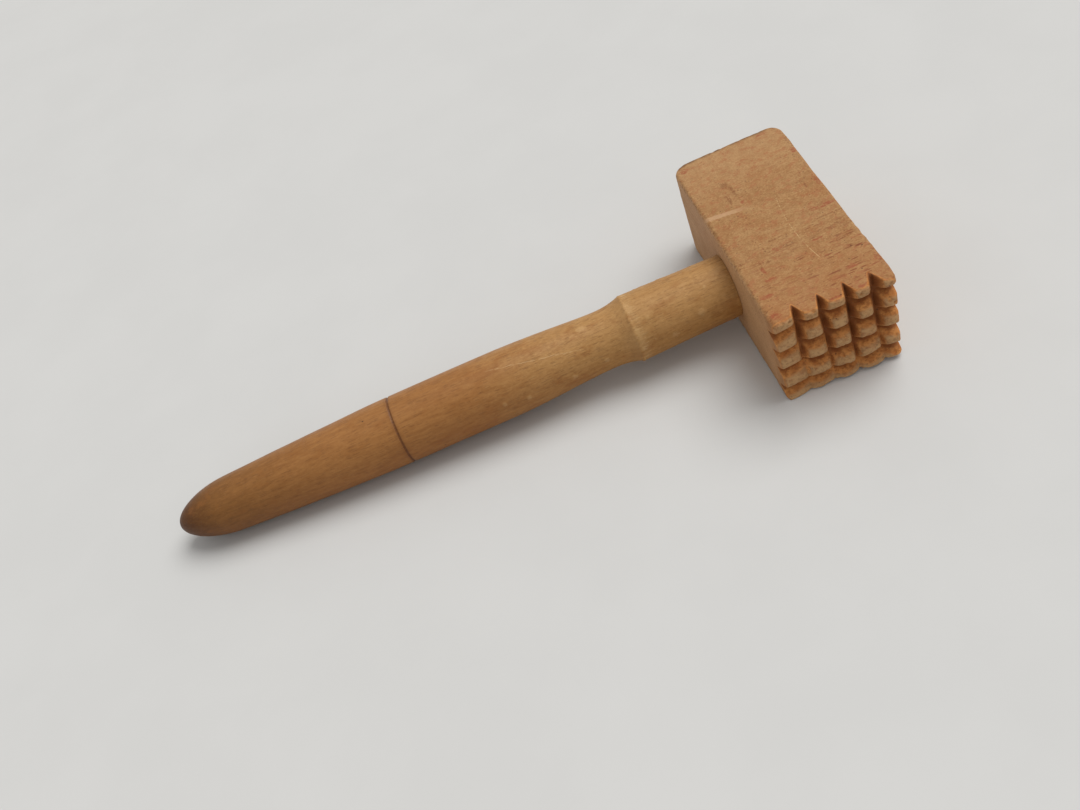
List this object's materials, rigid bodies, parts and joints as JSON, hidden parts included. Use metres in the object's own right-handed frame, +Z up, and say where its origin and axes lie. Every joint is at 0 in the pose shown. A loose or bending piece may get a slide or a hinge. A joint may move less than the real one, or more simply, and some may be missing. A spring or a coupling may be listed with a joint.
{
  "type": "meat mallet",
  "caption": "Wooden meat mallet: a block head with a grooved, toothed face and a plain face, wedged on a turned handle with a ridge, a waist and a long rounded grip.",
  "frame": {"origin": "on the table the mallet lies on, under the middle of its bounding box", "axes": "+Z up from the table, out of the upper cheek; +X from the head towards the end of the grip; +Y the way the toothed face looks. The mallet is stored as it rests on a table: its weight is out in the handle, so it leans on the head's lower grip-side edge and on the grip, and its handle runs 2.01 degrees down from +X, while the upper cheek's normal leans 2.01 degrees from +Z towards +X."},
  "size_m": [0.3246, 0.116, 0.0497],
  "materials": {
    "head_wood": "bare, worn, matte",
    "handle_wood": "hand-polished, satin",
    "wedge_wood": "bare, matte"
  },
  "bodies": {
    "root": {"head": "head_wood", "handle": "handle_wood", "wedge": "wedge_wood"}
  },
  "joints": []
}
